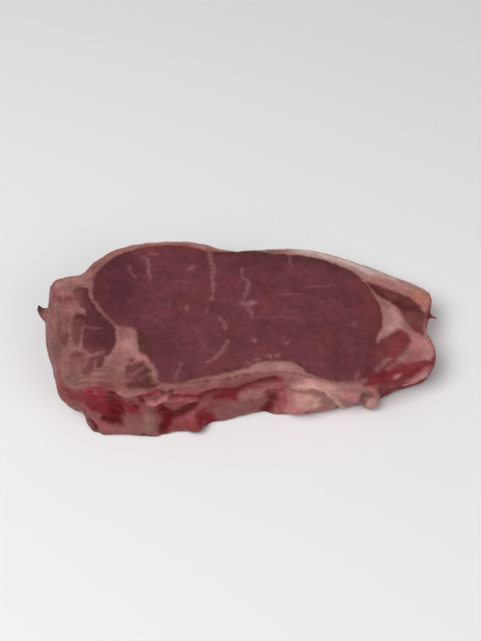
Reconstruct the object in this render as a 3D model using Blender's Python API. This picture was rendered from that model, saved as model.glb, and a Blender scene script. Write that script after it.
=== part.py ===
"""Raw veal loin chop without its bone, lying on one of its two cut faces.

The chop is a slice across the loin. Its rim is the upper cut edge, its wall is the outside
of the loin (back fat at the rear, the boned side at the front), and it rests on a flat foot.
Sizes are in millimetres and are turned into metres once, when a mesh is finished.
+X runs from the chine end to the tail, +Y towards the back fat, +Z up.
"""

import math

import bmesh
import bpy
from mathutils import Matrix, Vector

METRES_PER_MM = 0.001

# The stations below are laid out from the eye muscle. This moves the middle of the chop's
# box to the origin.
TO_ORIGIN = Vector((-1.35, -0.5, 0.0))

# Thickness of the slice. It thins towards the tail, and a little towards the chine.
BODY_THICKNESS = 22.5
TAIL_LOSS, TAIL_STARTS, TAIL_RUN = 6.5, 20.0, 58.0
CHINE_LOSS, CHINE_STARTS, CHINE_RUN = 1.5, -55.0, 22.0

# The eye muscle swells a little above the knife's plane, and a seam sinks across it.
EYE_CENTRE, EYE_HALF_LENGTH, EYE_HALF_WIDTH, EYE_SWELL = (0.0, 4.0), 52.0, 31.0, 1.3
SEAM_TOP, SEAM_LENGTH, SEAM_HALF_WIDTH, SEAM_DEPTH = (-8.0, 34.0), 16.0, 3.0, 0.9

# Round edges, and how finely each stretch of the skin is divided.
RIM_RADIUS, FOOT_RADIUS = 2.2, 1.2
EDGE_STEPS = 2
STEPS_PER_STATION = 4
WALL_LEVELS = 7
FACE_RINGS = 6
LAST_RING = 0.72
SPINE_START, SPINE_END = Vector((-46.0, 0.0)), Vector((52.0, 4.0))

# Stations round the rim, counter-clockwise from the front corner of the chine end:
# x, y of the rim, then how far the wall stands out from the rim at half height and at the foot.
BONED_SIDE = (
    (-57.2, -31.0, -0.5, -5.6),
    (-53.8, -32.1, -0.6, -3.2),
    (-51.4, -32.2, 0.8, 1.8),
    (-48.6, -32.0, 1.6, 4.6),
    (-43.0, -32.7, 1.4, 4.8),
    (-37.0, -34.5, 0.6, 3.0),
    (-29.0, -33.5, 1.2, 4.9),
    (-21.0, -32.0, 1.0, 4.4),
    (-12.5, -31.0, 1.4, 4.4),
    (-8.0, -30.3, -0.2, 2.2),
    (-1.0, -29.0, 0.2, 1.6),
    (7.0, -27.0, 0.2, 1.2),
    (14.0, -25.6, 0.6, 2.7),
    (22.0, -26.2, 1.2, 2.2),
    (30.0, -28.6, 0.6, -0.8),
    (38.0, -29.6, -1.2, -3.6),
    (46.0, -28.4, -1.6, -4.2),
)
TAIL = (
    (53.0, -25.6, -0.6, -2.8),
    (60.0, -22.2, -0.6, -3.4),
    (66.5, -19.2, 0.2, -3.6),
    (71.5, -16.5, 0.4, -2.8),
    (73.5, -10.5, 0.7, -0.6),
    (72.8, -5.0, 0.3, 0.0),
    (71.2, -0.5, 0.2, 0.4),
    (72.6, 5.5, 0.4, 0.4),
    (74.6, 11.5, 0.5, 0.0),
    (74.8, 17.0, 0.4, -0.6),
)
BACK_FAT = (
    (70.5, 20.4, 0.9, -0.6),
    (62.0, 24.2, 1.0, -0.6),
    (52.0, 28.0, 1.0, -0.8),
    (41.0, 31.4, 1.0, -0.8),
    (30.0, 33.6, 0.9, -0.6),
    (20.0, 34.0, 0.8, -0.4),
    (12.0, 33.6, 0.8, 0.0),
    (2.0, 32.8, 0.8, 0.4),
    (-5.0, 33.9, 0.8, 0.6),
    (-11.0, 36.4, 0.6, 0.4),
    (-19.0, 37.8, 0.5, 0.2),
    (-29.0, 37.5, 0.6, 0.4),
    (-39.0, 35.8, 0.8, 0.8),
    (-47.0, 32.3, 1.0, 1.4),
    (-53.0, 26.8, 1.2, 2.0),
)
CHINE_END = (
    (-57.0, 21.4, 1.4, 2.2),
    (-63.5, 19.9, 1.4, 1.8),
    (-67.8, 17.6, 1.2, 1.4),
    (-67.4, 10.5, 2.4, 2.0),
    (-65.8, 3.0, 4.1, 3.2),
    (-64.6, -5.0, 3.8, 2.8),
    (-62.8, -13.0, 2.9, 1.5),
    (-60.8, -21.5, 2.2, -0.6),
    (-59.2, -27.6, 1.6, -3.4),
)
STATIONS = BONED_SIDE + TAIL + BACK_FAT + CHINE_END

# Hollows and swellings that the saw and the boning knife left on the wall:
# x and y of the middle, height, amount outwards, half-width along the wall, half-height.
WALL_RELIEF = (
    (-43.0, -34.0, 13.0, -2.0, 5.0, 5.0),
    (-33.0, -36.0, 6.0, 1.4, 4.5, 5.0),
    (-24.0, -35.0, 7.0, -1.8, 3.5, 6.0),
    (-16.0, -34.0, 5.0, 1.2, 4.0, 4.0),
    (-4.0, -30.0, 14.0, -1.2, 8.0, 3.0),
    (3.0, -28.5, 8.0, 1.2, 5.0, 4.0),
    (12.0, -27.0, 15.0, -1.5, 9.0, 2.6),
    (40.0, -28.0, 10.0, 1.0, 5.0, 4.0),
    (60.0, -21.5, 6.0, -1.2, 6.0, 4.0),
    (55.0, 26.5, 9.0, 0.8, 9.0, 5.0),
    (-30.0, 37.0, 10.0, 0.8, 12.0, 6.0),
)

# Pieces grown onto the wall, as ellipsoids: middle, half sizes, turn about Z in degrees.
FAT_KERNEL = ((23.5, -26.2, 7.2), (8.6, 5.2, 6.4), -4.0)
KERNEL_SHOULDER = ((33.0, -25.6, 5.6), (6.0, 3.6, 4.6), 8.0)
MEMBRANE_TAB = ((49.6, -24.6, 3.6), (3.0, 2.9, 3.4), 20.0)
STRIP_END = ((-13.5, -33.8, 3.6), (4.2, 3.2, 3.3), 6.0)
ELLIPSOID_SEGMENTS, ELLIPSOID_RINGS = 20, 10

# Dried ends of silverskin that stick out: root, tip, and half a width at each of them.
CHINE_SINEW = ((-67.5, 8.0, 11.0), (-73.9, 12.0, 11.8), 4.2, 1.1)
CHINE_SINEW_BARB = ((-73.0, 11.2, 11.6), (-73.9, 14.2, 12.6), 1.1, 0.5)
TAIL_SINEW = ((71.5, 10.0, 12.4), (77.0, 6.8, 11.8), 1.4, 0.4)
SINEW_FLATNESS = 0.5
SINEW_SIDES = 8

FLESH_COLOUR = (0.155, 0.046, 0.058, 1.0)
FLESH_ROUGHNESS = 0.42


def smooth_step(t):
    t = min(1.0, max(0.0, t))
    return t * t * (3.0 - 2.0 * t)


def bell(distance):
    """1 in the middle, falling smoothly to almost nothing at a distance of 2."""
    return math.exp(-distance * distance)


def thickness_at(x):
    tail = TAIL_LOSS * smooth_step((x - TAIL_STARTS) / TAIL_RUN)
    chine = CHINE_LOSS * smooth_step((CHINE_STARTS - x) / CHINE_RUN)
    return BODY_THICKNESS - tail - chine


def top_height(x, y):
    """Height of the upper cut face: the slice, the swollen eye and the sunken seam."""
    along = (x - EYE_CENTRE[0]) / EYE_HALF_LENGTH
    across = (y - EYE_CENTRE[1]) / EYE_HALF_WIDTH
    swell = EYE_SWELL * max(0.0, 1.0 - along**2 - across**2)
    seam_across = bell((x - SEAM_TOP[0]) / SEAM_HALF_WIDTH)
    seam_along = bell(max(0.0, SEAM_TOP[1] - y) / SEAM_LENGTH)
    return thickness_at(x) + swell - SEAM_DEPTH * seam_across * seam_along


def through_stations(stations, steps):
    """A closed smooth curve through the stations (Catmull-Rom), with `steps` samples a span."""
    count = len(stations)
    samples = []
    for i in range(count):
        before, start, end, after = (
            Vector(stations[(i + k) % count]) for k in (-1, 0, 1, 2)
        )
        for step in range(steps):
            t = step / steps
            linear = (end - before) * t
            square = (2.0 * before - 5.0 * start + 4.0 * end - after) * t**2
            cubic = (3.0 * start - before - 3.0 * end + after) * t**3
            samples.append(start + 0.5 * (linear + square + cubic))
    return samples


def outward_directions(samples, reach=3):
    """Level directions square to the curve, taken over a few samples so that they turn gently."""
    count = len(samples)
    directions = []
    for i in range(count):
        along = samples[(i + reach) % count].xy - samples[i - reach].xy
        directions.append(Vector((along.y, -along.x)).normalized())
    return directions


def wall_offset(sample, share):
    """How far the wall stands out at this share of its height: through foot, waist and rim."""
    waist, foot = sample[2], sample[3]
    at_foot = (1.0 - share) * (1.0 - 2.0 * share)
    at_waist = 4.0 * share * (1.0 - share)
    return foot * at_foot + waist * at_waist


def relief_at(point):
    total = 0.0
    for x, y, z, amount, half_width, half_height in WALL_RELIEF:
        along = math.hypot(point.x - x, point.y - y) / half_width
        total += amount * bell(along) * bell((point.z - z) / half_height)
    return total


def wall_ring(samples, outward, share, inset, lift):
    """One ring of the wall. inset draws it in and lift moves it up, for the round edges."""
    ring = []
    for sample, direction in zip(samples, outward):
        height = thickness_at(sample.x) * share
        flat = sample.xy + direction * (wall_offset(sample, share) - inset)
        point = Vector((flat.x, flat.y, height + lift))
        swell = direction * relief_at(point) * math.sin(math.pi * share)
        ring.append(point + swell.to_3d())
    return ring


def face_ring(rim_ring, share):
    """A ring of the upper face, drawn in from the rim towards the spine of the chop."""
    spine = SPINE_END - SPINE_START
    ring = []
    for point in rim_ring:
        along = (point.xy - SPINE_START).dot(spine) / spine.length_squared
        nearest = SPINE_START + spine * min(1.0, max(0.0, along))
        flat = point.xy.lerp(nearest, share)
        ring.append(Vector((flat.x, flat.y, top_height(flat.x, flat.y))))
    return ring


def chop_rings():
    """Every ring of the skin, from the foot's flat face up the wall and in over the top."""
    samples = through_stations(STATIONS, STEPS_PER_STATION)
    outward = outward_directions(samples)
    rings = []
    for step in range(EDGE_STEPS):
        turn = 0.5 * math.pi * step / EDGE_STEPS
        inset = FOOT_RADIUS * (1.0 - math.sin(turn))
        lift = FOOT_RADIUS * (1.0 - math.cos(turn))
        rings.append(wall_ring(samples, outward, 0.0, inset, lift))
    first = FOOT_RADIUS / BODY_THICKNESS
    last = 1.0 - RIM_RADIUS / BODY_THICKNESS
    for level in range(WALL_LEVELS):
        share = first + (last - first) * level / (WALL_LEVELS - 1)
        rings.append(wall_ring(samples, outward, share, 0.0, 0.0))
    for step in range(1, EDGE_STEPS + 1):
        turn = 0.5 * math.pi * step / EDGE_STEPS
        inset = RIM_RADIUS * (1.0 - math.cos(turn))
        lift = RIM_RADIUS * (math.sin(turn) - 1.0)
        rings.append(wall_ring(samples, outward, 1.0, inset, lift))
    rim = rings[-1]
    for ring in range(1, FACE_RINGS + 1):
        rings.append(face_ring(rim, LAST_RING * ring / FACE_RINGS))
    return rings


def finish_mesh(bm, name):
    bmesh.ops.translate(bm, vec=TO_ORIGIN, verts=bm.verts)
    bmesh.ops.scale(bm, vec=(METRES_PER_MM,) * 3, verts=bm.verts)
    bmesh.ops.recalc_face_normals(bm, faces=bm.faces)
    mesh = bpy.data.meshes.new(name)
    bm.to_mesh(mesh)
    bm.free()
    piece = bpy.data.objects.new(name, mesh)
    bpy.context.scene.collection.objects.link(piece)
    return piece


def make_chop():
    """The slice itself: rings bridged from the foot up the wall and in over the top."""
    bm = bmesh.new()
    below = []
    for ring in chop_rings():
        loop = [bm.verts.new(point) for point in ring]
        edges = [bm.edges.new((loop[i - 1], loop[i])) for i in range(len(loop))]
        if below:
            bmesh.ops.bridge_loops(bm, edges=below + edges)
        else:
            bmesh.ops.contextual_create(bm, geom=edges)
        below = edges
    bmesh.ops.triangle_fill(bm, edges=below, use_beauty=True)
    return finish_mesh(bm, "chop")


def make_lump(name, middle, half_sizes, turn):
    bm = bmesh.new()
    bmesh.ops.create_uvsphere(
        bm, u_segments=ELLIPSOID_SEGMENTS, v_segments=ELLIPSOID_RINGS, radius=1.0
    )
    place = Matrix.Translation(middle) @ Matrix.Rotation(math.radians(turn), 4, "Z")
    stretch = Matrix.Diagonal((*half_sizes, 1.0))
    bmesh.ops.transform(bm, matrix=place @ stretch, verts=bm.verts)
    return finish_mesh(bm, name)


def make_sinew(name, root, tip, root_half_width, tip_half_width):
    """A flat tapered strip, thinner upwards than it is wide."""
    bm = bmesh.new()
    root, tip = Vector(root), Vector(tip)
    along = tip - root
    bmesh.ops.create_cone(
        bm,
        cap_ends=True,
        segments=SINEW_SIDES,
        radius1=root_half_width,
        radius2=tip_half_width,
        depth=along.length,
    )
    turn = along.to_track_quat("Z", "Y").to_matrix().to_4x4()
    place = Matrix.Translation((root + tip) * 0.5) @ turn
    flatten = Matrix.Diagonal((1.0, SINEW_FLATNESS, 1.0, 1.0))
    bmesh.ops.transform(bm, matrix=place @ flatten, verts=bm.verts)
    return finish_mesh(bm, name)


def grow_onto(chop, piece):
    """Joins a piece to the chop with a Boolean union. The piece itself is only a helper."""
    piece.hide_render = True
    piece.display_type = "WIRE"
    join = chop.modifiers.new("join_" + piece.name, "BOOLEAN")
    join.operation = "UNION"
    join.object = piece


def flesh_material():
    material = bpy.data.materials.new("flesh")
    material.use_nodes = True
    shader = material.node_tree.nodes["Principled BSDF"]
    shader.inputs["Base Color"].default_value = FLESH_COLOUR
    shader.inputs["Roughness"].default_value = FLESH_ROUGHNESS
    shader.inputs["Metallic"].default_value = 0.0
    return material


def main():
    for item in list(bpy.data.objects):
        bpy.data.objects.remove(item)
    chop = make_chop()
    chop.data.materials.append(flesh_material())
    chop.data.shade_smooth()
    grow_onto(chop, make_lump("fat_kernel", *FAT_KERNEL))
    grow_onto(chop, make_lump("kernel_shoulder", *KERNEL_SHOULDER))
    grow_onto(chop, make_lump("membrane_tab", *MEMBRANE_TAB))
    grow_onto(chop, make_lump("strip_end", *STRIP_END))
    grow_onto(chop, make_sinew("chine_sinew", *CHINE_SINEW))
    grow_onto(chop, make_sinew("chine_sinew_barb", *CHINE_SINEW_BARB))
    grow_onto(chop, make_sinew("tail_sinew", *TAIL_SINEW))


main()
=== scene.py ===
"""A raw veal loin chop, boned, lying on one of its two cut faces on a pale floor.

Lengths and places are in millimetres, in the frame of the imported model: +X from the chine end
to the tail, +Y towards the back fat, +Z up. Meshes are turned into metres as they are finished.
"""

import bmesh
import bpy
import numpy as np
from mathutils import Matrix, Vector, kdtree, noise


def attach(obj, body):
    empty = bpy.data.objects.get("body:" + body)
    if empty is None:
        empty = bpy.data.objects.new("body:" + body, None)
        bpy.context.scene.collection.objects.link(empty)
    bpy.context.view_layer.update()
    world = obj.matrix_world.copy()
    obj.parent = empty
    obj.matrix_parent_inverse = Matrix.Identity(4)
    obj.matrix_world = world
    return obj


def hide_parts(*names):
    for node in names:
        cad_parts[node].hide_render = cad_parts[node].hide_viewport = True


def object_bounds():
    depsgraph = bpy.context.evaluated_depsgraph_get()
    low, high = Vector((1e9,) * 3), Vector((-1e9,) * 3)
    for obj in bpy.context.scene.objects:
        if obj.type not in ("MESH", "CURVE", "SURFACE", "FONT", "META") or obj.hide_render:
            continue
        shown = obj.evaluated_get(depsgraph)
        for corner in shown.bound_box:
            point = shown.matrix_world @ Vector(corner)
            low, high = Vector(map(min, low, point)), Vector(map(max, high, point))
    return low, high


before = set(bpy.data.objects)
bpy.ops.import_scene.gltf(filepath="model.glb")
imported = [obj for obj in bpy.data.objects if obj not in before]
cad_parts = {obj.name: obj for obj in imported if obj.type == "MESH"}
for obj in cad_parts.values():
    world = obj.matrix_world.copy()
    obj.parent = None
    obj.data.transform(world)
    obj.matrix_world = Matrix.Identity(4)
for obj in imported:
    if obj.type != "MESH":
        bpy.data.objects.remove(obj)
cad_low, cad_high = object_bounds()


# ---------------------------------------------------------------- The slice
# The chop is one thick slice across a boned loin. Both cut faces are flat from the knife, and
# the wall between them is the outside of the loin: back fat at the rear, and at the front the
# rough side that the bone was taken from.

MM = 0.001
MERGE_DISTANCE = 0.001
SKIN_CELL = 0.6
SMOOTHING_ROUNDS, SMOOTHING_STRENGTH = 4, 0.5
BODY_THICKNESS, TAIL_LOSS, TAIL_STARTS, TAIL_ENDS = 22.5, 6.5, 20.0, 78.0

# The skin turns from wall to cut face as its normal's upright share passes from the first of
# these to the second, but only this near to the height of a cut face.
LEVEL_STARTS, LEVEL_FULL = 0.68, 0.96
UPPER_EDGE_STARTS, UPPER_EDGE_FULL = 5.0, 3.0
LOWER_EDGE_STARTS, LOWER_EDGE_FULL = 2.5, 1.0


def merged_copy(node, name):
    """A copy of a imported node's mesh with its loose triangles joined up."""
    bm = bmesh.new()
    bm.from_mesh(node.data)
    bmesh.ops.remove_doubles(bm, verts=bm.verts, dist=MERGE_DISTANCE * MM)
    mesh = bpy.data.meshes.new(name)
    bm.to_mesh(mesh)
    bm.free()
    piece = bpy.data.objects.new(name, mesh)
    bpy.context.scene.collection.objects.link(piece)
    return piece


def apply_modifiers(piece):
    """Turns what the modifiers make into the piece's own mesh."""
    graph = bpy.context.evaluated_depsgraph_get()
    shaped = bpy.data.meshes.new_from_object(piece.evaluated_get(graph))
    piece.modifiers.clear()
    piece.data = shaped


def read_vectors(mesh, what):
    """The places ("co") or the directions ("normal") of all points, one row for each."""
    values = np.empty(len(mesh.vertices) * 3)
    mesh.vertices.foreach_get(what, values)
    return values.reshape(-1, 3)


def fade(low, high, values):
    """0 up to low, 1 from high, and a smooth change between them. high may be the lower one."""
    t = np.clip((values - low) / (high - low), 0.0, 1.0)
    return t * t * (3.0 - 2.0 * t)


def lumps(points, size, seed):
    """Smooth noise from -1 to 1. size is that of its lumps, one number or one for each axis."""
    places = (points / np.asarray(size) + seed).tolist()
    return np.array([noise.noise(place) for place in places])


chop = merged_copy(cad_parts["chop"], "chop_skin")
remesh = chop.modifiers.new("even_skin", "REMESH")
remesh.mode = "VOXEL"
remesh.voxel_size = SKIN_CELL * MM
soften = chop.modifiers.new("soft_edges", "SMOOTH")
soften.factor = SMOOTHING_STRENGTH
soften.iterations = SMOOTHING_ROUNDS
apply_modifiers(chop)

skin = read_vectors(chop.data, "co") / MM
facing = read_vectors(chop.data, "normal")
upper_face = BODY_THICKNESS - TAIL_LOSS * fade(TAIL_STARTS, TAIL_ENDS, skin[:, 0])
near_upper = fade(upper_face - UPPER_EDGE_STARTS, upper_face - UPPER_EDGE_FULL, skin[:, 2])
near_lower = fade(LOWER_EDGE_STARTS, LOWER_EDGE_FULL, skin[:, 2])
on_face = fade(LEVEL_STARTS, LEVEL_FULL, np.abs(facing[:, 2])) * (near_upper + near_lower)
on_wall = 1.0 - on_face


# ---------------------------------------------------------------- Muscles and fat
# Seven muscles, or ends of muscles, cross the slice. Fat and silverskin fill the gaps between
# them and wrap the outside. Fibres run nearly square to the cut faces, so both faces show the
# same layout.

FIBRE_DRIFT = np.array([1.6, -1.2])
OUTLINE_STEPS = 5

EYE = (
    (-53.2, 18.0), (-51.2, 23.0), (-47.6, 27.4), (-42.0, 31.2), (-35.0, 33.6), (-26.0, 34.6),
    (-16.0, 33.2), (-9.5, 31.6), (-2.0, 32.4), (6.0, 32.8), (15.0, 30.2), (26.0, 29.6),
    (37.0, 27.0), (44.5, 23.4), (48.6, 18.6), (51.4, 13.2), (53.4, 8.0), (54.0, 3.0),
    (53.0, -2.0), (50.8, -7.6), (50.6, -14.5), (49.0, -21.0), (43.6, -26.4), (35.0, -28.0),
    (27.0, -26.2), (22.0, -22.4), (17.5, -20.5), (9.0, -21.2), (0.0, -24.4), (-10.0, -27.0),
    (-21.4, -29.9), (-26.8, -28.4), (-29.0, -21.8), (-30.8, -18.9), (-34.2, -16.0),
    (-35.2, -10.4), (-36.6, -6.3), (-40.4, -5.2), (-42.9, -4.6), (-45.1, -1.8), (-48.0, 1.4),
    (-51.0, 5.4), (-53.2, 11.0),
)
INNER = (
    (-60.0, 13.2), (-55.2, 13.4), (-54.3, 9.6), (-51.8, 4.8), (-48.9, 0.7), (-45.8, -2.6),
    (-43.2, -5.8), (-42.9, -9.2), (-42.9, -12.8), (-44.2, -16.8), (-47.6, -18.2), (-51.4, -17.6),
    (-54.2, -14.6), (-54.9, -9.6), (-54.9, -3.0), (-55.0, 2.2), (-57.0, 4.8), (-60.2, 9.4),
)
INNER_STRIP = (
    (-59.2, 0.6), (-56.4, 1.4), (-54.6, -0.6), (-54.9, -6.0), (-55.0, -12.6), (-57.8, -12.6),
    (-59.4, -5.4),
)
FRONT_PATCH = (
    (-37.6, -22.6), (-35.4, -20.6), (-31.6, -20.8), (-29.8, -23.4), (-28.6, -28.0),
    (-29.4, -30.8), (-34.0, -31.0), (-37.0, -27.6),
)
CAP = (
    (49.0, 19.4), (54.0, 18.0), (60.4, 16.0), (65.8, 13.2), (69.2, 8.4), (70.4, 1.6),
    (68.4, -3.6), (64.6, -1.8), (62.2, 2.2), (60.2, 7.4), (56.6, 10.8), (52.4, 13.6),
)
TAIL_MUSCLE = (
    (59.2, -1.8), (61.4, -2.6), (63.0, -4.6), (63.4, -7.0), (61.8, -9.8), (59.4, -12.8),
    (57.1, -15.6), (54.6, -18.4), (50.0, -20.4), (46.0, -18.0), (46.5, -11.0), (50.9, -8.8),
    (53.4, -6.6), (56.2, -4.2),
)
FLANK = (
    (73.0, -14.6), (68.0, -15.0), (64.0, -16.0), (60.2, -17.0), (57.6, -16.4), (53.6, -15.6),
    (48.0, -19.0), (45.4, -25.6), (52.0, -31.0), (62.0, -28.0), (76.0, -20.0),
)
# How sharply each muscle's edge shows, and its outline.
MUSCLES = (
    (1.0, EYE), (0.9, INNER), (0.5, INNER_STRIP), (0.35, FRONT_PATCH), (0.6, CAP),
    (0.6, TAIL_MUSCLE), (0.6, FLANK),
)

# Shreds of lean in the fat: half a width, then the points that each runs through.
SHRED_SHARPNESS = 0.45
SHREDS = (
    (0.9, (-62.0, 8.6), (-61.2, 7.8)),
    (1.3, (-61.2, -8.6), (-61.0, -11.6)),
    (1.3, (-57.0, -17.4), (-54.6, -17.4)),
    (1.0, (-54.2, -19.0), (-53.6, -20.0)),
    (1.4, (-50.4, -19.0), (-51.0, -23.0), (-52.2, -25.2)),
    (1.6, (-50.4, -19.2), (-47.8, -19.0), (-48.0, -22.0)),
    (1.0, (-36.9, -19.8), (-36.2, -19.8)),
    (1.3, (-37.0, -22.4), (-37.4, -25.6)),
    (1.3, (-36.4, -30.2), (-32.0, -30.8), (-28.0, -30.6)),
    (0.6, (-9.6, -29.6), (-9.0, -29.8)),
    (0.5, (-2.6, -28.2), (-2.0, -28.1)),
    (0.5, (0.2, -27.1), (0.6, -27.0)),
    (0.6, (3.4, -26.8), (4.4, -26.6)),
    (0.6, (7.8, -26.1), (8.6, -26.0)),
)


def rounded(outline, closed=True):
    """A smooth curve (Catmull-Rom) through an outline's points."""
    knots = np.array(outline, float)
    if closed:
        before, after, last = np.roll(knots, 1, 0), np.roll(knots, -1, 0), np.roll(knots, -2, 0)
    else:
        knots = np.vstack([knots[:1], knots, knots[-1:]])
        before, knots, after, last = knots[:-3], knots[1:-2], knots[2:-1], knots[3:]
    curve = []
    for step in range(OUTLINE_STEPS):
        t = step / OUTLINE_STEPS
        linear = (after - before) * t
        square = (2.0 * before - 5.0 * knots + 4.0 * after - last) * t**2
        cubic = (3.0 * knots - before - 3.0 * after + last) * t**3
        curve.append(knots + 0.5 * (linear + square + cubic))
    curve = np.stack(curve, 1).reshape(-1, 2)
    return curve if closed else np.vstack([curve, after[-1:]])


def distance_to(points, starts, ends):
    """Distance from each point to the nearest of some straight runs."""
    nearest = np.full(len(points), np.inf)
    for start, end in zip(starts, ends):
        run = end - start
        along = np.clip((points - start) @ run / max(run @ run, 1e-9), 0.0, 1.0)
        gap = points - start - along[:, None] * run
        nearest = np.minimum(nearest, np.einsum("ij,ij->i", gap, gap))
    return np.sqrt(nearest)


def distance_to_line(points, line):
    """Distance from each point to a smooth line, or to a spot when it has one point."""
    curve = rounded(line, closed=False) if len(line) > 1 else np.array([line[0], line[0]])
    return distance_to(points, curve[:-1], curve[1:])


def depth_inside(points, outline):
    """How far inside an outline each point lies; negative outside it."""
    starts = rounded(outline)
    ends = np.roll(starts, -1, 0)
    inside = np.zeros(len(points), bool)
    for start, end in zip(starts, ends):
        spans = (start[1] > points[:, 1]) != (end[1] > points[:, 1])
        rise = end[1] - start[1]
        crossing = start[0] + (points[:, 1] - start[1]) * (end[0] - start[0]) / (rise or 1.0)
        inside ^= spans & (points[:, 0] < crossing)
    return np.where(inside, 1.0, -1.0) * distance_to(points, starts, ends)


def uneven(seed):
    """A wave of about 3 mm with a finer one on it, for edges and lines that aren't quite true."""
    return lumps(skin, 3.2, seed) + 0.4 * lumps(skin, 1.1, seed)


# Where each point lies in the layout, and how deep it is inside lean: below 0 in fat.
wander = np.stack([uneven(40.0), uneven(57.0)], 1)
depth_below = 1.0 - np.clip(skin[:, 2] / BODY_THICKNESS, 0.0, 1.0)
plan = skin[:, :2] - FIBRE_DRIFT * depth_below[:, None] + 0.4 * wander
depths = [sharpness * depth_inside(plan, outline) for sharpness, outline in MUSCLES]
for half_width, *line in SHREDS:
    depths.append(SHRED_SHARPNESS * (half_width - distance_to_line(plan, line)))
lean_depth = np.max(depths, 0)

# Fatty veins in the lean: half a width, how pale, then the points that each runs through.
VEINS = (
    (0.7, 0.8, (-10.4, 31.8), (-9.6, 27.5), (-8.6, 20.0), (-8.2, 13.2), (-8.3, 10.5)),
    (0.6, 0.7, (-9.0, 8.2), (-9.2, 6.4)),
    (0.5, 0.4, (-10.2, 3.0), (-10.2, 0.0)),
    (0.7, 0.7, (-36.0, 28.4), (-34.0, 26.8), (-33.0, 23.6), (-32.6, 20.5), (-32.0, 17.2)),
    (0.6, 0.5, (-32.8, 29.8), (-29.8, 28.6)),
    (0.5, 0.5, (-40.2, 23.0), (-39.2, 20.0), (-37.2, 17.4)),
    (0.9, 0.6, (-17.4, 20.8), (-16.2, 22.6)),
    (0.6, 0.25, (-24.0, 15.0), (-20.4, 15.6), (-17.6, 14.4)),
    (0.6, 0.7, (1.9, 21.4), (2.2, 17.8), (4.4, 15.0), (4.6, 12.0), (3.8, 9.4), (2.6, 7.2)),
    (1.5, 0.9, (2.2, 4.8), (4.2, 3.8), (6.2, 4.6)),
    (0.8, 0.7, (3.4, 3.0), (4.4, 2.0)),
    (0.5, 0.6, (5.0, 1.4), (5.6, -2.6)),
    (0.7, 0.6, (-6.0, -2.4), (-4.6, -4.0), (-3.9, -6.6)),
    (0.9, 0.6, (-3.2, -12.8), (-4.6, -16.4), (-5.4, -17.6)),
    (0.6, 0.6, (-5.4, -17.6), (-7.0, -19.4), (-9.6, -21.2)),
    (0.5, 0.35, (-24.5, 5.8), (-24.2, 2.4)),
    (0.7, 0.5, (-18.2, 3.0), (-18.0, 2.0)),
    (0.6, 0.4, (-18.6, -21.6), (-20.4, -25.4), (-20.8, -28.0)),
    (0.6, 0.5, (20.4, 29.8), (20.0, 26.0), (21.0, 22.4)),
    (0.4, 0.4, (26.0, 12.8), (31.0, 13.4), (36.8, 15.2)),
    (0.35, 0.25, (12.0, 8.6), (17.0, 8.8), (24.0, 9.6)),
    (0.35, 0.25, (9.0, -2.4), (15.0, -1.8), (21.0, -2.4)),
    (0.9, 0.35, (42.8, -2.0), (43.4, -3.2)),
    (0.6, 0.9, (6.4, -12.0), (6.7, -12.3)),
    (0.6, 0.7, (18.2, -12.9), (18.4, -13.4)),
    (0.65, 1.0, (11.2, -18.9), (12.0, -19.1)),
    (0.6, 0.9, (14.4, -18.6), (14.9, -18.3)),
    (0.65, 1.0, (7.0, -20.4), (8.0, -20.3)),
    (0.5, 0.5, (4.2, -21.4), (4.8, -21.6)),
    (0.6, 0.5, (-31.0, -21.5), (-33.6, -24.6), (-36.4, -26.4)),
    (0.6, 0.5, (-29.4, -25.2), (-33.0, -28.0)),
    (0.8, 0.6, (-29.0, -22.0), (-27.6, -26.6)),
    (0.7, 0.7, (-57.0, -14.8), (-53.6, -15.8), (-51.0, -18.0), (-47.4, -16.8)),
    (0.6, 0.5, (-55.2, -5.2), (-55.0, -9.0), (-54.8, -13.0)),
    (0.5, 0.4, (-54.4, -4.6), (-51.0, -6.2), (-48.4, -6.0)),
    (1.0, 0.75, (49.6, -21.4), (51.8, -18.8), (54.6, -15.6)),
    (0.8, 0.6, (53.0, -20.6), (55.4, -18.6), (57.9, -16.9)),
    (0.7, 0.5, (42.6, -24.4), (41.6, -27.0)),
)
winding = plan + 0.5 * wander
vein = np.zeros(len(skin))
for half_width, paleness, *line in VEINS:
    gap = distance_to_line(winding, line) / half_width
    vein = np.maximum(vein, paleness * np.exp(-gap * gap))
vein *= 0.75 + 0.25 * lumps(skin, 2.4, 83.0)


# ---------------------------------------------------------------- Colour of the cut faces
# Lean veal is a dull rose brown, darker at the edges where it has dried. Fat and silverskin run
# from rosy pink to cream, and lie in thin layers beside the rim.

def srgb(red, green, blue):
    """A colour as it looks, on a scale of 255, turned into linear light."""
    shares = [channel / 255.0 for channel in (red, green, blue)]
    return np.array([s / 12.92 if s <= 0.04045 else ((s + 0.055) / 1.055) ** 2.4 for s in shares])


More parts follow.
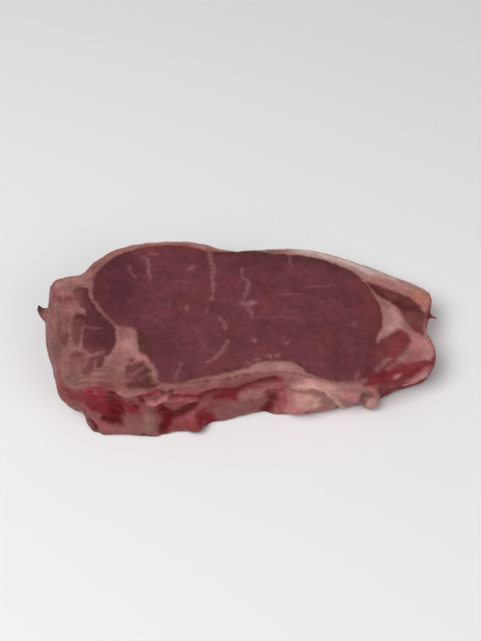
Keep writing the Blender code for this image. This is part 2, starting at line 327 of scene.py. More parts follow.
# Each kind of flesh: its colour, whether it is lean (below 0) or fat, and how wet from 0 to 1.
FLESH = {
    "rose": (srgb(108, 56, 64), -1.0, 0.2),
    "plum": (srgb(91, 44, 54), -1.0, 0.2),
    "russet": (srgb(118, 58, 57), -1.0, 0.3),
    "dried": (srgb(88, 46, 44), -1.0, 0.1),
    "umber": (srgb(80, 36, 34), -1.0, 0.3),
    "veiled": (srgb(120, 69, 68), -0.5, 0.2),
    "fresh": (srgb(134, 60, 61), -1.0, 0.5),
    "wine": (srgb(121, 37, 42), -1.0, 0.7),
    "dark_wine": (srgb(90, 18, 24), -1.0, 0.8),
    "garnet": (srgb(112, 24, 32), -1.0, 0.3),
    "blood": (srgb(130, 20, 34), -1.0, 0.9),
    "deep_blood": (srgb(96, 4, 12), -1.0, 1.0),
    "crust": (srgb(84, 54, 49), 0.4, 0.1),
    "rust": (srgb(118, 76, 67), 0.4, 0.1),
    "flush": (srgb(134, 73, 73), 0.4, 0.4),
    "raw_red": (srgb(130, 48, 54), 0.4, 0.6),
    "film": (srgb(135, 84, 84), 0.5, 0.3),
    "pink": (srgb(150, 80, 84), 0.5, 0.5),
    "beige": (srgb(150, 108, 99), 0.8, 0.3),
    "silverskin": (srgb(152, 103, 101), 1.0, 0.3),
    "fat": (srgb(158, 109, 105), 1.0, 0.2),
    "bright_pink": (srgb(182, 115, 114), 1.0, 0.4),
    "pearl": (srgb(182, 134, 127), 1.0, 0.3),
    "cream": (srgb(200, 153, 139), 1.0, 0.3),
    "orange_fat": (srgb(184, 120, 100), 1.0, 0.2),
    # Pale fat of the rear rim, whitened by a painted highlight along the edge.
    "pale_rim_and_highlight": (srgb(228, 204, 196), 1.0, 0.2),
}

# What is kept for each point of the skin. "fat" is below 0 in lean and above 0 in fat, by about
# the distance in millimetres to the border between them. "raised" is how far it stands proud.
FAT_ON_WALL = 1.2
layers = {
    "lean_colour": np.tile(FLESH["rose"][0], (len(skin), 1)),
    "fat_colour": np.tile(FLESH["fat"][0], (len(skin), 1)),
    "fat": (-lean_depth * on_face + FAT_ON_WALL * on_wall)[:, None],
    "wet": np.full((len(skin), 1), FLESH["rose"][2]),
    "raised": np.zeros((len(skin), 1)),
}


def lay(kind, share, raised=0.0):
    """Lays one kind of flesh over the skin, as strongly as share says at each point.

    On a cut face it colours only the lean or only the fat. On the wall it covers both.
    """
    colour, fatness, wetness = FLESH[kind]
    share = share[:, None]
    covered = share * on_wall[:, None]
    own, other = ("fat_colour", "lean_colour") if fatness > 0.0 else ("lean_colour", "fat_colour")
    layers[own] += share * (colour - layers[own])
    layers[other] += covered * (colour - layers[other])
    layers["fat"] += covered * (1.5 * fatness - layers["fat"])
    layers["wet"] += share * (wetness - layers["wet"])
    layers["raised"] += share * raised


def near(places, half_width, line, hardness=2.0):
    """1 along a line and about a third at its half width. hardness is how abruptly it ends."""
    return np.exp(-((distance_to_line(places, line) / half_width) ** hardness))


def distance_to_rim(is_rim):
    """How far in from the rim of a cut face each point lies."""
    rim = np.flatnonzero(is_rim)
    tree = kdtree.KDTree(len(rim))
    for index in rim.tolist():
        tree.insert((*skin[index, :2], 0.0), index)
    tree.balance()
    return np.array([tree.find((x, y, 0.0))[2] for x, y in skin[:, :2].tolist()])


# Beside the seams the lean has dried brown; broad patches of it are plum or russet.
patchy = fade(-0.5, 0.5, lumps(skin, 7.0, 61.0))
lay("dried", 0.75 * on_face * patchy * fade(3.0, 0.4, lean_depth))
lay("russet", 0.35 * on_face * fade(0.0, 0.6, lumps(skin, 9.0, 17.0)))
lay("plum", 0.35 * on_face * fade(0.0, 0.6, lumps(skin, 6.0, 29.0)))

# Fat and silverskin lie in thin layers that follow the rim.
MIDDLE_HEIGHT, RIM_BAND = 10.0, 4.0
LAYER_THICKNESS, LAYER_LENGTH = 0.9, 8.0
upper_half = skin[:, 2] > MIDDLE_HEIGHT
upper_rim = upper_half & (on_wall > 0.5) & (skin[:, 2] > upper_face - RIM_BAND)
lower_rim = ~upper_half & (on_wall > 0.5) & (skin[:, 2] < RIM_BAND)
rim_distance = np.where(upper_half, distance_to_rim(upper_rim), distance_to_rim(lower_rim))
layer_sizes = (LAYER_THICKNESS, LAYER_LENGTH, LAYER_LENGTH)
layering = lumps(np.column_stack([rim_distance, plan]), layer_sizes, 71.0)
beside_rim = on_face * fade(11.0, 7.0, rim_distance)
lay("silverskin", 0.55 * beside_rim * fade(0.1, 0.45, layering))
lay("rust", 0.55 * beside_rim * fade(-0.1, -0.45, layering))

# Kind of flesh, strength, half a width, then the points that it runs through.
FACE_STROKES = (
    # The first stroke darkens the chine end of the eye muscle with plum as painted shade.
    ("plum", 1.0, 11.0, (-46.0, 20.0), (-44.0, 8.0)),
    ("plum", 0.5, 6.0, (-27.0, -10.0), (-24.0, -22.0)),
    ("plum", 0.4, 8.0, (0.0, 25.0), (12.0, 23.0)),
    ("russet", 0.7, 4.0, (50.0, 16.0), (51.6, 6.0), (50.6, -4.0)),
    ("russet", 0.6, 1.6, (-38.0, 31.6), (-26.0, 32.6), (-13.0, 31.8)),
    ("dried", 0.8, 1.8, (-7.0, 30.5), (2.0, 31.2), (12.0, 31.0)),
    ("dried", 0.6, 2.4, (19.0, 27.5), (32.0, 26.6), (42.0, 23.0)),
    ("dried", 0.9, 1.7, (-34.0, -8.4), (-32.2, -12.4), (-30.8, -17.4)),
    ("dried", 0.6, 2.0, (-51.4, 20.0), (-50.4, 9.0), (-46.4, 3.0)),
    ("plum", 1.0, 7.0, (-49.0, -3.0), (-48.0, -12.0)),
    ("dried", 0.5, 5.0, (-49.6, -4.0), (-48.6, -12.0)),
    ("veiled", 0.9, 2.4, (-59.6, 12.6), (-58.4, 9.0), (-57.2, 6.0)),
    ("dried", 0.5, 1.2, (-55.6, 9.6), (-52.6, 4.8)),
    ("veiled", 0.9, 2.4, (-57.6, -3.6), (-57.4, -12.0)),
    ("umber", 0.7, 1.1, (-57.6, -0.2), (-55.2, -0.6), (-54.6, -3.0)),
    ("veiled", 0.9, 1.8, (-61.2, -9.0), (-61.0, -11.6)),
    ("veiled", 0.9, 2.2, (-57.4, -17.6), (-53.6, -19.8)),
    ("veiled", 0.5, 4.0, (-50.8, -20.0), (-51.0, -25.0)),
    ("veiled", 0.6, 5.0, (-36.0, -22.0), (-34.0, -26.0)),
    ("dried", 0.9, 1.4, (-36.0, -30.4), (-28.5, -30.6)),
    ("dried", 0.7, 1.6, (-31.0, -23.0), (-31.6, -28.0)),
    ("russet", 0.9, 9.0, (54.0, 16.0), (64.0, 10.0), (68.0, 0.0)),
    ("umber", 0.9, 1.5, (50.0, 17.6), (53.5, 14.4), (56.0, 12.4)),
    ("umber", 0.9, 2.0, (59.6, 10.6), (63.0, 8.4), (67.4, 7.2)),
    ("veiled", 0.6, 1.4, (57.4, 13.8), (61.4, 14.0)),
    ("veiled", 1.0, 2.8, (64.6, 3.6), (68.4, 4.4), (69.2, 0.0)),
    ("fresh", 0.9, 5.0, (61.0, -5.0), (57.0, -13.0)),
    ("russet", 0.8, 3.0, (53.0, -9.0), (51.0, -16.0)),
    ("wine", 0.9, 5.0, (72.0, -18.0), (60.0, -21.0), (50.0, -27.0)),
    ("fresh", 0.8, 2.4, (72.0, -16.0), (64.0, -17.0), (57.0, -18.0)),
    ("film", 1.0, 8.0, (-66.0, 12.0), (-64.0, 0.0), (-60.0, -20.0)),
    ("film", 0.9, 2.0, (-49.0, 28.0), (-52.4, 22.0), (-53.0, 14.0), (-50.0, 4.0), (-44.0, -3.4)),
    ("beige", 0.9, 2.2, (-67.0, 15.6), (-62.0, 15.0), (-57.0, 14.0)),
    ("pearl", 0.9, 1.6, (-67.0, 16.2), (-64.0, 17.4), (-61.0, 18.2)),
    ("bright_pink", 0.5, 1.4, (-61.0, 17.0), (-59.4, 16.4)),
    ("bright_pink", 0.9, 1.8, (-65.0, 11.0), (-63.8, 10.4)),
    ("flush", 0.8, 1.4, (-67.6, 11.0), (-67.0, 8.6)),
    ("flush", 0.9, 2.4, (-62.6, 6.8), (-62.2, 2.4)),
    ("silverskin", 0.5, 0.9, (-54.7, 17.0), (-54.1, 11.6), (-51.4, 5.4)),
    ("silverskin", 0.9, 1.4, (-58.7, 7.6), (-59.3, 4.8), (-59.6, 1.8)),
    ("silverskin", 0.5, 1.2, (-62.8, 2.8), (-62.4, -1.0), (-62.2, -6.8)),
    ("pearl", 0.5, 0.8, (-66.6, 6.0), (-66.4, 0.0), (-65.6, -6.0)),
    ("crust", 0.6, 0.8, (-65.4, 9.0), (-65.2, 3.0), (-64.6, -4.0), (-63.4, -11.0)),
    ("silverskin", 0.8, 1.2, (-66.4, 2.0), (-65.4, -4.4), (-64.8, -10.0), (-63.4, -15.0)),
    ("rust", 0.9, 0.9, (-64.6, -4.4), (-63.9, -10.0), (-62.4, -16.4), (-61.4, -20.0)),
    ("crust", 0.9, 1.7, (-66.4, -11.0), (-65.4, -15.0), (-64.2, -17.0)),
    ("silverskin", 0.8, 1.1, (-59.8, -4.0), (-59.3, -10.0), (-58.2, -15.0), (-57.6, -20.0)),
    ("beige", 0.8, 2.6, (-60.0, -25.0), (-57.0, -28.6), (-50.0, -28.6)),
    ("rust", 0.6, 1.3, (-58.8, -27.4), (-56.4, -25.8)),
    ("raw_red", 1.0, 2.9, (-51.0, -32.8), (-46.6, -31.6), (-42.4, -32.4)),
    ("flush", 0.5, 1.3, (-44.0, -27.6), (-43.6, -26.2)),
    ("film", 0.8, 1.5, (-40.6, -7.4), (-39.0, -4.4)),
    ("silverskin", 0.9, 2.4, (-38.6, -11.0), (-37.2, -14.4), (-35.6, -17.2), (-33.6, -19.0)),
    ("pearl", 0.7, 1.8, (-38.4, -12.6), (-37.4, -16.0), (-36.2, -18.4)),
    ("bright_pink", 0.6, 1.6, (-34.6, -19.6), (-31.6, -20.0)),
    ("film", 0.5, 3.0, (-41.0, -17.0), (-44.0, -24.0)),
    ("film", 0.7, 3.0, (-40.4, -27.0), (-38.0, -31.0)),
    ("flush", 0.8, 3.0, (-49.0, 27.0), (-36.0, 33.4), (-24.0, 34.6), (-12.0, 33.0), (-6.0, 31.6)),
    # These two lay a thin line of pale fat along the rear rim; its palest edge is a painted highlight.
    ("beige", 0.8, 1.6, (-52.0, 26.0), (-47.6, 29.6), (-41.4, 33.4)),
    ("pearl", 0.6, 1.1, (-41.0, 34.0), (-35.1, 35.6), (-26.2, 36.6), (-18.6, 35.8), (-12.0, 33.6)),
    ("flush", 0.7, 2.6, (-38.0, -31.4), (-20.0, -29.4), (-4.0, -26.0)),
    ("silverskin", 0.4, 1.3, (-30.0, -32.0), (-18.0, -29.8), (-6.0, -27.2), (6.0, -24.4)),
    ("pearl", 0.5, 1.7, (7.0, -23.4), (12.0, -22.6), (19.0, -22.8), (24.0, -25.4)),
    ("silverskin", 0.6, 2.4, (26.0, -27.4), (36.0, -29.6), (46.0, -28.4)),
    ("fat", 0.8, 3.0, (20.0, 30.4), (36.0, 28.6), (50.0, 22.4), (62.0, 17.6)),
    ("bright_pink", 0.4, 1.8, (50.0, 21.0), (57.0, 19.0), (66.0, 16.4)),
    ("rust", 0.9, 2.0, (0.0, 33.6), (9.0, 33.6), (16.0, 32.6)),
    # These three lay pale fat along the rear rim, paler towards the edge as a painted highlight.
    ("pearl", 0.9, 2.4, (46.0, 27.2), (58.0, 22.4), (69.0, 18.4)),
    ("pale_rim_and_highlight", 0.8, 2.4, (24.0, 33.0), (30.0, 32.2), (42.0, 28.8), (51.0, 25.6)),
    ("pale_rim_and_highlight", 0.4, 1.6, (53.0, 25.4), (60.0, 22.8)),
    ("orange_fat", 1.0, 3.2, (69.0, 14.4), (72.4, 12.6)),
    ("bright_pink", 0.8, 1.6, (71.8, 8.6), (71.4, 3.6)),
    ("pearl", 1.0, 3.4, (57.4, 8.6), (58.4, 4.0)),
    ("pearl", 1.0, 2.8, (58.4, 0.6), (55.8, -3.4)),
    ("film", 0.7, 1.4, (51.4, 11.2), (54.0, 9.6), (56.4, 8.4)),
    ("bright_pink", 1.0, 4.4, (66.6, -7.0), (69.6, -11.6)),
    ("pearl", 0.6, 3.0, (68.4, -7.6), (70.6, -12.4)),
    ("pink", 0.6, 1.6, (66.0, -12.4), (62.0, -15.6), (59.4, -17.8)),
)
for kind, strength, half_width, *line in FACE_STROKES:
    lay(kind, strength * on_face * near(plan, half_width, line))

# The layers show through again at the chine end and along the boned side.
chine_end = fade(-50.0, -56.0, skin[:, 0])
boned_edge = fade(-20.0, -26.0, skin[:, 1])
sinewy = beside_rim * np.maximum(chine_end, boned_edge)
lay("beige", 0.45 * sinewy * fade(0.0, 0.4, layering))
lay("rust", 0.45 * sinewy * fade(0.0, -0.4, layering))


# ---------------------------------------------------------------- The outside of the loin
# Back fat under thin silverskin behind, whitened by a painted highlight towards the tail, sinewy
# streaks at the chine end, red fat at the tail, and two dried tips of silverskin.

# Places on the wall, by length and height.
wall = skin[:, [0, 2]] + 0.5 * wander
streaks = lumps(skin, (1.5, 1.5, 9.0), 11.3)
rear_wall = on_wall * fade(0.1, 0.55, facing[:, 1])
chine_wall = on_wall * fade(0.4, 0.8, -facing[:, 0]) * fade(-50.0, -56.0, skin[:, 0])
tail_wall = on_wall * fade(0.4, 0.8, facing[:, 0]) * fade(60.0, 66.0, skin[:, 0])
rear_layers = lumps(skin, (12.0, 4.0, 4.0), 90.0) + 0.4 * lumps(skin, (7.0, 2.0, 1.6), 33.0)

lay("fat", rear_wall)
lay("pearl", 0.75 * rear_wall * fade(-0.4, 0.5, rear_layers))
# The pale rim kind, here and two lines down, is pale fat with a painted highlight on it.
lay("pale_rim_and_highlight", 0.35 * rear_wall * fade(0.0, 0.7, rear_layers))
lay("film", 0.6 * rear_wall * fade(0.0, -0.6, rear_layers))
lay("pale_rim_and_highlight", 0.6 * rear_wall * fade(10.0, 20.0, skin[:, 0]))
lay("dried", 0.85 * rear_wall * near(wall, 9.0, ((-2.0, 12.0), (12.0, 17.0))))
lay("veiled", 0.7 * rear_wall * near(wall, 5.0, ((-14.0, 8.0), (18.0, 12.0))))

lay("film", chine_wall)
lay("silverskin", 0.9 * chine_wall * fade(0.05, 0.35, streaks))
lay("rust", 0.9 * chine_wall * fade(-0.05, -0.35, streaks))
lay("crust", 0.6 * chine_wall * fade(-0.3, -0.6, streaks))
lay("crust", 0.7 * chine_wall * near(skin[:, 1:], 4.0, ((-15.0, 21.0), (-12.0, 16.0))))

lay("bright_pink", 0.7 * tail_wall)
lay("orange_fat", 0.8 * tail_wall * fade(8.0, 14.0, skin[:, 1]))
lay("fresh", 0.8 * tail_wall * fade(0.1, -0.3, streaks))
lay("wine", 0.7 * tail_wall * fade(-14.0, -17.0, skin[:, 1]))

lay("crust", fade(-71.0, -74.0, skin[:, 0]))
lay("beige", 0.8 * fade(74.4, 75.4, skin[:, 0]))


# ---------------------------------------------------------------- The boned side
# The bone was cut away along the front, which left torn sheets of wet red muscle and membrane,
# a kernel of fat, and hollows between them, dark with blood and with painted shade.

front_wall = on_wall * fade(0.0, 0.4, -facing[:, 1])
frayed = wall + 0.4 * np.stack([lumps(skin, 1.3, seed) for seed in (14.0, 66.0)], 1)

# Kind of flesh, how far it stands proud, half a width, then its points by length and height.
# The darkest kinds in sunken strokes (umber, dark_wine, deep_blood, rust) are partly dark blood and
# partly painted shade in the hollows.
BONED_STROKES = (
    ("film", 0.0, 14.0, (-60.0, 12.0), (10.0, 12.0)),
    ("flush", 0.0, 9.0, (-24.0, 13.0), (12.0, 14.0)),
    ("fresh", 0.0, 7.0, (-57.0, 14.0), (-40.0, 14.0)),
    ("silverskin", 0.0, 10.0, (22.0, 12.0), (46.0, 12.0)),
    ("garnet", 0.0, 8.0, (56.0, 11.0), (70.0, 11.0)),
    ("wine", 0.0, 3.4, (-58.0, 18.0), (-54.6, 17.2), (-51.4, 17.0)),
    ("wine", 0.0, 3.0, (-54.0, 12.6), (-48.0, 12.0), (-44.0, 9.0)),
    ("blood", 0.0, 3.2, (-48.4, 20.6), (-47.0, 17.8), (-45.6, 14.0)),
    ("pink", 0.2, 0.8, (-48.4, 20.2), (-47.2, 20.0)),
    ("deep_blood", -0.7, 3.0, (-42.0, 22.6), (-41.4, 19.0), (-41.8, 13.6), (-41.6, 9.6)),
    ("dark_wine", -0.4, 2.2, (-41.0, 10.8), (-41.4, 7.4)),
    ("wine", 0.0, 2.8, (-40.0, 17.4), (-37.2, 16.4), (-36.0, 13.4)),
    ("film", 0.2, 2.8, (-37.4, 8.0), (-35.4, 9.0), (-33.0, 7.6)),
    ("beige", 0.3, 1.9, (-30.8, 10.0), (-30.2, 6.8), (-30.0, 4.6)),
    ("pink", 0.4, 1.0, (-53.2, 14.6), (-51.2, 10.0), (-49.2, 6.4), (-47.2, 4.2), (-43.0, 2.4)),
    ("film", 0.3, 1.1, (-51.0, 10.4), (-47.6, 8.6)),
    ("umber", -0.5, 1.3, (-51.4, 5.4), (-50.0, 3.2), (-49.2, 1.2)),
    ("dark_wine", -0.3, 1.4, (-46.6, 7.8), (-43.6, 6.4)),
    ("film", 0.2, 1.3, (-48.8, 1.4), (-42.0, 2.6), (-34.2, 2.6)),
    ("umber", -0.2, 1.2, (-33.0, 1.8), (-30.6, 0.6)),
    ("silverskin", 0.2, 1.0, (-40.4, 21.8), (-36.9, 21.4), (-34.2, 21.2)),
    ("wine", -0.3, 0.9, (-33.6, 20.0), (-29.6, 20.8), (-26.0, 21.8)),
    ("deep_blood", -0.5, 1.0, (-32.6, 18.8), (-32.0, 17.6)),
    ("deep_blood", -0.5, 0.9, (-34.8, 15.0), (-33.8, 14.6)),
    ("bright_pink", 0.5, 1.5, (-29.8, 16.9), (-28.2, 15.9), (-26.4, 16.2), (-24.4, 18.0)),
    ("umber", -0.2, 0.8, (-25.2, 20.9), (-24.6, 20.8)),
    ("umber", -0.2, 0.8, (-22.4, 20.7), (-21.8, 20.8)),
    ("pink", 0.4, 1.1, (-20.8, 20.0), (-15.4, 19.6), (-10.8, 20.0), (-4.6, 20.2)),
    ("wine", -0.5, 1.2, (-22.0, 18.0), (-14.0, 17.4), (-7.4, 16.6)),
    ("pink", 0.5, 1.3, (-23.0, 15.6), (-16.6, 15.6), (-12.4, 13.6), (-10.6, 10.4)),
    ("wine", -0.5, 1.3, (-26.4, 14.0), (-25.7, 10.0)),
    ("deep_blood", -0.5, 2.0, (-24.8, 9.4), (-24.2, 5.4), (-25.8, 2.6)),
    ("dark_wine", -0.6, 1.7, (-22.4, 7.4), (-17.9, 10.8), (-14.6, 12.6)),
    ("pink", 0.4, 1.3, (-17.0, 6.8), (-14.2, 8.6), (-12.6, 10.4)),
    ("fresh", 0.2, 2.6, (-20.0, 3.4), (-16.0, 5.0), (-13.4, 3.4)),
    ("blood", -0.3, 2.0, (-12.4, 8.2), (-10.4, 4.0), (-8.6, 1.4)),
    ("wine", -0.5, 1.9, (-12.0, 15.8), (-7.4, 17.2), (-3.6, 16.4), (0.6, 14.2)),
    ("wine", -0.2, 1.8, (-6.6, 13.2), (-2.8, 13.2), (0.2, 12.2)),
    ("silverskin", 0.4, 2.0, (2.8, 11.6), (5.0, 12.4), (8.4, 11.2), (13.6, 13.8)),
    ("film", 0.2, 2.6, (-5.0, 6.4), (1.8, 8.0), (3.0, 6.0)),
    ("wine", -0.4, 2.0, (-0.6, 15.4), (3.2, 16.8), (8.0, 17.8), (14.4, 18.8)),
    ("dark_wine", -0.3, 1.0, (-0.4, 15.4), (3.2, 16.7), (6.6, 17.8), (13.2, 19.2)),
    ("pink", 0.4, 1.1, (9.0, 15.2), (12.8, 15.8), (17.4, 16.6)),
    ("fresh", 0.0, 1.8, (12.0, 12.0), (16.6, 12.0)),
    ("dark_wine", -0.6, 2.2, (13.6, 9.0), (12.6, 5.4), (10.8, 2.4)),
    ("deep_blood", -0.2, 1.0, (13.2, 8.0), (12.2, 4.4)),
    ("bright_pink", 0.0, 6.0, (21.0, 7.0), (24.6, 6.6)),
    ("pink", 0.0, 1.8, (15.0, 3.6), (16.6, 10.6)),
    ("pearl", 0.1, 2.2, (22.8, 11.0), (25.0, 9.8)),
    # The cream stroke below is the kernel's pale fat carrying a painted highlight.
    ("cream", 0.2, 1.6, (25.4, 12.4), (28.8, 11.8), (28.8, 8.6)),
    ("flush", -0.2, 1.2, (25.2, 6.4), (27.2, 4.0)),
    ("pearl", 0.4, 2.2, (21.6, 16.2), (23.6, 18.2), (27.8, 20.2), (32.6, 19.4), (36.0, 16.4)),
    ("cream", 0.2, 1.0, (22.6, 17.8), (27.8, 19.0), (32.0, 17.0)),
    ("silverskin", -0.2, 0.6, (20.0, 13.4), (24.0, 14.6), (30.0, 14.2)),
    ("beige", 0.1, 2.2, (31.4, 10.6), (35.0, 9.2)),
    ("rust", -0.5, 0.7, (33.6, 14.6), (36.4, 7.4), (37.4, 1.6)),
    ("cream", 0.5, 1.0, (32.4, 15.4), (35.2, 11.8), (37.0, 7.0), (38.5, 2.4)),
    ("bright_pink", 0.3, 2.2, (38.0, 14.4), (41.4, 12.8), (43.4, 8.6)),
    ("rust", -0.5, 1.3, (44.8, 12.4), (46.0, 6.0)),
    ("bright_pink", 0.5, 1.2, (47.0, 17.0), (48.6, 14.0), (50.2, 9.4), (50.8, 4.6)),
    ("pearl", 0.2, 2.2, (48.2, 6.0), (49.4, 4.4)),
    ("wine", 0.0, 2.2, (45.6, 20.4), (49.6, 18.2), (54.0, 15.8)),
    ("garnet", -0.1, 2.4, (51.8, 14.0), (53.4, 9.6), (53.8, 5.6)),
    ("pink", 0.2, 0.7, (55.2, 11.6), (56.0, 9.4)),
    ("bright_pink", 0.3, 1.0, (56.6, 17.0), (57.8, 16.8)),
    ("pink", 0.2, 1.2, (60.8, 12.0), (62.0, 9.6)),
    ("bright_pink", 0.3, 1.4, (61.4, 7.4), (64.0, 9.6)),
    ("bright_pink", 0.3, 2.8, (64.6, 10.6), (67.8, 12.6)),
    # The pearl stroke below is a painted highlight on the pink lobe.
    ("pearl", 0.0, 1.4, (65.4, 11.2), (67.6, 12.4)),
    ("fresh", -0.2, 1.4, (70.4, 13.0), (70.8, 6.0)),
)
for kind, proud, half_width, *line in BONED_STROKES:
    lay(kind, front_wall * near(frayed, half_width, line, 3.5), proud)

# Fine torn fibres along the wall.
fibres = lumps(skin, (7.0, 7.0, 0.9), 47.0)
torn = front_wall * fade(1.5, 0.3, layers["fat"][:, 0])
lay("pink", 0.2 * torn * fade(0.1, 0.5, fibres))
lay("wine", 0.35 * torn * fade(-0.1, -0.5, fibres))


# ---------------------------------------------------------------- Relief
# The flesh isn't flat. Seams sink between the muscles, veins stand out as threads, the rim and
# the wall are layered, and the boned side is torn into thin sheets.

FACE_SINK, EDGE_SINK, SEAM_SINK, SEAM_HALF_WIDTH = 0.2, 0.35, 0.25, 0.7
VEIN_PROUD, LAYERS_PROUD, FIBRES_PROUD, SHEETS_PROUD = 0.1, 0.08, 0.12, 1.3

swell = -EDGE_SINK * fade(4.0, 0.0, lean_depth) * on_face
swell -= (FACE_SINK + SEAM_SINK * np.exp(-((lean_depth / SEAM_HALF_WIDTH) ** 2))) * on_face
swell += VEIN_PROUD * vein * on_face
swell += 0.12 * lumps(skin, 5.0, 21.0) + 0.06 * lumps(skin, 1.9, 5.5)
swell += LAYERS_PROUD * beside_rim * layering
swell += on_wall * (0.14 * lumps(skin, 3.0, 31.0) + 0.14 * streaks * (1.0 - front_wall))
swell += torn * FIBRES_PROUD * fibres
swell += front_wall * 0.3 * lumps(skin, (9.0, 5.0, 2.4), 3.7)
swell += front_wall * 0.25 * lumps(skin, (3.5, 3.5, 2.2), 8.1)
swell += SHEETS_PROUD * layers["raised"][:, 0]

# The skin moves along its own normals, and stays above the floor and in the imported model's box.
skin = skin + facing * swell[:, None]
skin[:, 2] = np.maximum(skin[:, 2], 0.0)
skin = np.clip(skin, np.array(cad_low) / MM, np.array(cad_high) / MM)
chop.data.vertices.foreach_set("co", (skin * MM).ravel())
chop.data.update()
chop.data.shade_smooth()


# ---------------------------------------------------------------- Raw flesh
# Lean shows fine bundles of fibre cut across. Fat is softly clouded. Both are moist, and the
# boned side is wet.

def store(piece, name, values):
    """Keeps one number, or one colour, for each point of the mesh."""
    if values.shape[1] == 1:
        layer = piece.data.attributes.new(name, "FLOAT", "POINT")
        layer.data.foreach_set("value", values[:, 0].astype(np.float32))
    else:
        layer = piece.data.attributes.new(name, "FLOAT_COLOR", "POINT")
        rgba = np.hstack([values, np.ones((len(values), 1))])
        layer.data.foreach_set("color", rgba.ravel().astype(np.float32))


store(chop, "lean_colour", layers["lean_colour"])
store(chop, "fat_colour", layers["fat_colour"])
store(chop, "fat", layers["fat"])
store(chop, "wet", layers["wet"])
store(chop, "vein", (vein * on_face)[:, None])


def connect(tree, value, socket):
    """Links a node's output to a socket, or sets the socket to a plain value."""
    if isinstance(value, bpy.types.NodeSocket):
        tree.links.new(value, socket)
    else:
        socket.default_value = value


def add_node(tree, kind, inputs=None, **settings):
    """Adds a node. inputs gives each socket a value, or links it to another node's socket."""
    made = tree.nodes.new(kind)
    for name, value in settings.items():
        setattr(made, name, value)
    for name, value in (inputs or {}).items():
        connect(tree, value, made.inputs[name])
    return made


def new_material(name):
    """A material, its node tree and its shader."""
    material = bpy.data.materials.new(name)
    material.use_nodes = True
    return material, material.node_tree, material.node_tree.nodes["Principled BSDF"]


def mix(tree, share, first, second, blend="MIX"):
    """The first colour where share is 0, and the second, or a blend with it, where share is 1."""
    made = add_node(tree, "ShaderNodeMix", data_type="RGBA", blend_type=blend)
    for name, value in (("Factor_Float", share), ("A_Color", first), ("B_Color", second)):
        connect(tree, value, next(s for s in made.inputs if s.identifier == name))
    return next(s for s in made.outputs if s.identifier == "Result_Color")


def ramp(tree, value, low, high, to_low=0.0, to_high=1.0):
    """Turns a value's way from low to high into a smooth way from to_low to to_high."""
    ends = {"Value": value, "From Min": low, "From Max": high, "To Min": to_low, "To Max": to_high}
    made = add_node(tree, "ShaderNodeMapRange", ends, interpolation_type="SMOOTHSTEP")
    return made.outputs["Result"]


def shaded(tree, colour, value, darkest, lightest):
    """A colour made darker and lighter as a noise value goes from low to high."""
    return mix(tree, 1.0, colour, ramp(tree, value, 0.32, 0.68, darkest, lightest), "MULTIPLY")


def calculate(tree, operation, first, second):
    made = add_node(tree, "ShaderNodeMath", operation=operation)
    connect(tree, first, made.inputs[0])
    connect(tree, second, made.inputs[1])
    return made.outputs["Value"]


def cloud(tree, places, scale, detail=3.0, roughness=0.55):
    """Soft noise from 0 to 1, with about scale lumps to a millimetre."""
    inputs = {"Vector": places, "Scale": scale, "Detail": detail, "Roughness": roughness}
    return add_node(tree, "ShaderNodeTexNoise", inputs).outputs["Fac"]


def millimetres(tree, stretch=(1.0, 1.0, 1.0)):
    """Object coordinates in millimetres, drawn out along an axis by a number below 1."""
    coordinates = add_node(tree, "ShaderNodeTexCoord").outputs["Object"]
    scale = tuple(number / MM for number in stretch)
    return add_node(tree, "ShaderNodeMapping", {"Vector": coordinates, "Scale": scale}).outputs["Vector"]


def attribute(tree, name, output="Fac"):
    return add_node(tree, "ShaderNodeAttribute", attribute_name=name).outputs[output]


def tint(red, green, blue):
    return (*srgb(red, green, blue), 1.0)


SHEATH_COLOUR, FLECK_COLOUR = tint(142, 92, 96), tint(146, 96, 98)
FLUSHED_FAT, VEIN_COLOUR = tint(124, 66, 66), tint(176, 126, 126)
BUNDLES_PER_MM, FIBRE_STRETCH = 0.55, 0.15

veal, tree, shader = new_material("raw_veal")
places = millimetres(tree)
fibre_places = millimetres(tree, (1.0, 1.0, FIBRE_STRETCH))
wet = attribute(tree, "wet")
dry = ramp(tree, wet, 0.2, 0.6, 1.0, 0.0)

# Lean: soft patches, then bundles of fibre, each with a thin pale sheath, then pale flecks.
bundle_inputs = {"Vector": fibre_places, "Scale": BUNDLES_PER_MM}
bundles = add_node(tree, "ShaderNodeTexVoronoi", bundle_inputs)
bundle_colour = add_node(tree, "ShaderNodeSeparateColor", {"Color": bundles.outputs["Color"]})
gaps = add_node(tree, "ShaderNodeTexVoronoi", bundle_inputs, feature="DISTANCE_TO_EDGE")
gap_share = ramp(tree, gaps.outputs["Distance"], 0.0, 0.14, 1.0, 0.0)
broken_sheath = ramp(tree, cloud(tree, places, 0.22, 3.0), 0.5, 0.7, 0.02, 0.16)
sheath_share = calculate(tree, "MULTIPLY", gap_share, calculate(tree, "MULTIPLY", broken_sheath, dry))
flecks = ramp(tree, cloud(tree, fibre_places, 1.4, 4.0, 0.6), 0.6, 0.75, 0.0, 0.2)
lean = attribute(tree, "lean_colour", "Color")
lean = shaded(tree, lean, cloud(tree, places, 0.12, 3.0), 0.9, 1.1)
lean = shaded(tree, lean, cloud(tree, places, 0.45, 4.0), 0.92, 1.08)
lean = shaded(tree, lean, bundle_colour.outputs["Red"], 0.95, 1.06)
lean = mix(tree, sheath_share, lean, SHEATH_COLOUR)
lean = mix(tree, calculate(tree, "MULTIPLY", flecks, dry), lean, FLECK_COLOUR)

# Fat: two sizes of soft cloud, and faint flushed spots.
flushed = ramp(tree, cloud(tree, places, 1.5, 3.0, 0.6), 0.5, 0.8, 0.0, 0.12)
fat = attribute(tree, "fat_colour", "Color")
fat = shaded(tree, fat, cloud(tree, places, 0.25, 3.0), 0.87, 1.13)
fat = shaded(tree, fat, cloud(tree, places, 0.8, 3.0), 0.93, 1.07)
fat = mix(tree, flushed, fat, FLUSHED_FAT)

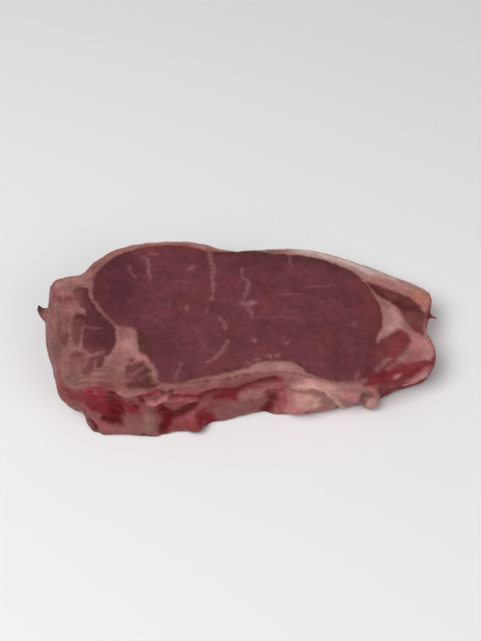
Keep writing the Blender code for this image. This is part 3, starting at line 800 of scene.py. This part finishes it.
# Fat meets lean in a ragged line, and the veins lie over both.
ragged = calculate(tree, "SUBTRACT", cloud(tree, places, 0.8, 4.0, 0.6), 0.5)
ragged = calculate(tree, "MULTIPLY", ragged, 1.1)
fat_share = ramp(tree, calculate(tree, "ADD", attribute(tree, "fat"), ragged), -0.6, 0.6)
broken_vein = ramp(tree, cloud(tree, places, 0.8, 4.0), 0.3, 0.55, 0.35, 0.75)
vein_share = calculate(tree, "MULTIPLY", attribute(tree, "vein"), broken_vein)
colour = mix(tree, vein_share, mix(tree, fat_share, lean, fat), VEIN_COLOUR)
connect(tree, colour, shader.inputs["Base Color"])

# Moisture: smoother and with a thin gloss where it is wet.
roughness = ramp(tree, cloud(tree, places, 0.5, 4.0, 0.6), 0.3, 0.7, 0.4, 0.52)
roughness = calculate(tree, "ADD", roughness, ramp(tree, wet, 0.0, 1.0, 0.05, -0.12))
connect(tree, roughness, shader.inputs["Roughness"])
connect(tree, ramp(tree, wet, 0.3, 1.0, 0.0, 0.1), shader.inputs["Coat Weight"])
shader.inputs["Coat Roughness"].default_value = 0.15
shader.inputs["Specular IOR Level"].default_value = 0.08

# Grain too fine for the mesh: sunken gaps between bundles, fibre ends, and torn wet flesh.
height = calculate(tree, "MULTIPLY", gap_share, -0.6)
height = calculate(tree, "ADD", height, cloud(tree, fibre_places, 1.4, 4.0, 0.6))
tearing = ramp(tree, wet, 0.3, 0.8, 0.0, 3.0)
torn_height = calculate(tree, "MULTIPLY", tearing, cloud(tree, places, 0.4, 5.0, 0.6))
height = calculate(tree, "ADD", height, torn_height)
bump = add_node(tree, "ShaderNodeBump", {"Height": height, "Strength": 0.3, "Distance": 0.2 * MM})
connect(tree, bump.outputs["Normal"], shader.inputs["Normal"])

# A little light passes through it, and comes out red.
shader.inputs["Subsurface Weight"].default_value = 0.08
shader.inputs["Subsurface Radius"].default_value = (1.0, 0.35, 0.25)
shader.inputs["Subsurface Scale"].default_value = 0.8 * MM

chop.data.materials.clear()
chop.data.materials.append(veal)
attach(chop, "root")
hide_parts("chop")


# ---------------------------------------------------------------- Floor, light and camera
# The chop lies on a plain pale floor. A broad soft lamp hangs above the camera's left, a dim one
# to its right, and a faint even sky fills the shadows.

FLOOR_HALF_WIDTH = 4.0
SKY_STRENGTH = 0.25

bm = bmesh.new()
bmesh.ops.create_grid(bm, x_segments=1, y_segments=1, size=FLOOR_HALF_WIDTH)
floor_mesh = bpy.data.meshes.new("floor")
bm.to_mesh(floor_mesh)
bm.free()
floor = bpy.data.objects.new("floor", floor_mesh)
bpy.context.scene.collection.objects.link(floor)
paper, _, paper_shader = new_material("pale_paper")
paper_shader.inputs["Base Color"].default_value = (0.86, 0.86, 0.86, 1.0)
paper_shader.inputs["Roughness"].default_value = 0.9
floor.data.materials.append(paper)

sky = bpy.context.scene.world or bpy.data.worlds.new("sky")
bpy.context.scene.world = sky
sky.use_nodes = True
sky.node_tree.nodes["Background"].inputs["Color"].default_value = (1.0, 1.0, 1.0, 1.0)
sky.node_tree.nodes["Background"].inputs["Strength"].default_value = SKY_STRENGTH


def soft_light(name, place, power, width):
    """A square lamp that faces the chop. place and width are in metres, power in watts."""
    lamp = bpy.data.lights.new(name, "AREA")
    lamp.energy = power
    lamp.size = width
    holder = bpy.data.objects.new(name, lamp)
    holder.location = place
    holder.rotation_euler = (-Vector(place)).to_track_quat("-Z", "Y").to_euler()
    bpy.context.scene.collection.objects.link(holder)


soft_light("key", (-0.45, -0.35, 0.9), 8.3, 0.6)
soft_light("fill", (0.7, -0.6, 0.6), 3.0, 0.7)

CAMERA_TARGET = Vector((1.65, 5.5, 12.0)) * MM
CAMERA_RISE = np.radians(52.0)
CAMERA_DISTANCE = 367.0 * MM
LENS_LENGTH, FILM_WIDTH = 55.0, 36.0
camera = bpy.data.objects.new("camera", bpy.data.cameras.new("camera"))
camera.data.lens = LENS_LENGTH
camera.data.sensor_width = FILM_WIDTH
back = Vector((0.0, -np.cos(CAMERA_RISE), np.sin(CAMERA_RISE)))
camera.location = CAMERA_TARGET + CAMERA_DISTANCE * back
camera.rotation_euler = (-back).to_track_quat("-Z", "Y").to_euler()
bpy.context.scene.collection.objects.link(camera)
bpy.context.scene.camera = camera
bpy.context.scene.view_settings.view_transform = "Standard"
